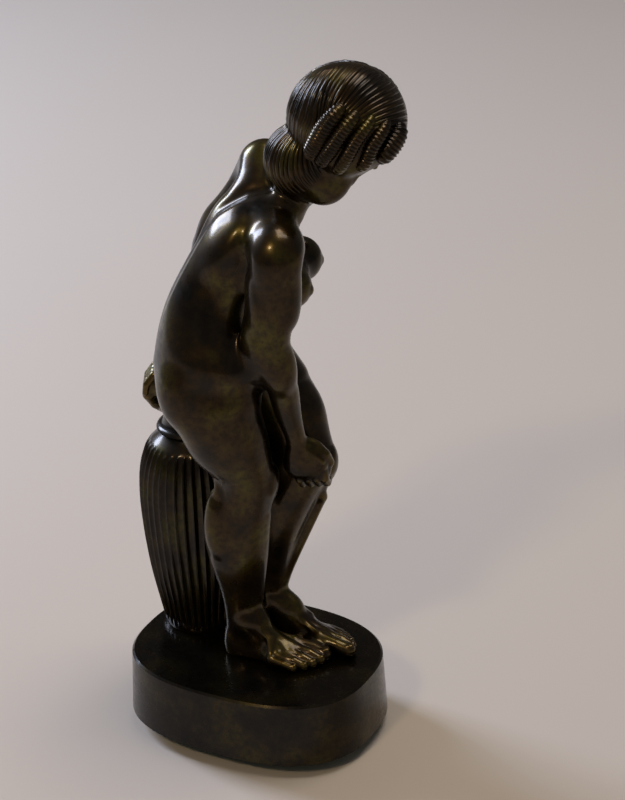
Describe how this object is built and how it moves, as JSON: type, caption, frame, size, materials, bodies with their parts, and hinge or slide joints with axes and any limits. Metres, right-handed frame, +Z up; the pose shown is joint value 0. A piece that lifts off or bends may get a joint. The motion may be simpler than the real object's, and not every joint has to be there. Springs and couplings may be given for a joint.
{
  "type": "bronze statuette",
  "caption": "Patinated bronze figure of a standing bather stooping beside a fluted urn, on a rounded oval plinth with a baize underside.",
  "frame": {"origin": "middle of the baize underside, on the surface that the statuette stands on", "axes": "+X along the plinth's long side, towards the toes; +Y across the plinth, on the figure's left; +Z up"},
  "size_m": [0.1122, 0.0776, 0.269],
  "materials": {
    "patinated_bronze": "dark olive brown patina, waxed to a satin gloss",
    "green_baize": "felted wool cloth",
    "steel_fixing": "plain zinc plated steel",
    "brass_dowel": "bare drawn brass rod"
  },
  "bodies": {
    "root": {"plinth_shell": "patinated_bronze", "urn_body": "patinated_bronze", "towel_casting": "patinated_bronze", "torso_casting": "patinated_bronze", "head_casting": "patinated_bronze", "right_arm_casting": "patinated_bronze", "left_arm_casting": "patinated_bronze", "right_leg_casting": "patinated_bronze", "left_leg_casting": "patinated_bronze", "baize_pad": "green_baize", "right_foot_stud": "steel_fixing", "left_foot_stud": "steel_fixing", "urn_stud": "steel_fixing", "stud_washers": "steel_fixing", "stud_nuts": "steel_fixing", "neck_dowel": "brass_dowel", "right_shoulder_dowel": "brass_dowel", "left_shoulder_dowel": "brass_dowel", "right_hip_dowel": "brass_dowel", "left_hip_dowel": "brass_dowel"}
  },
  "joints": []
}
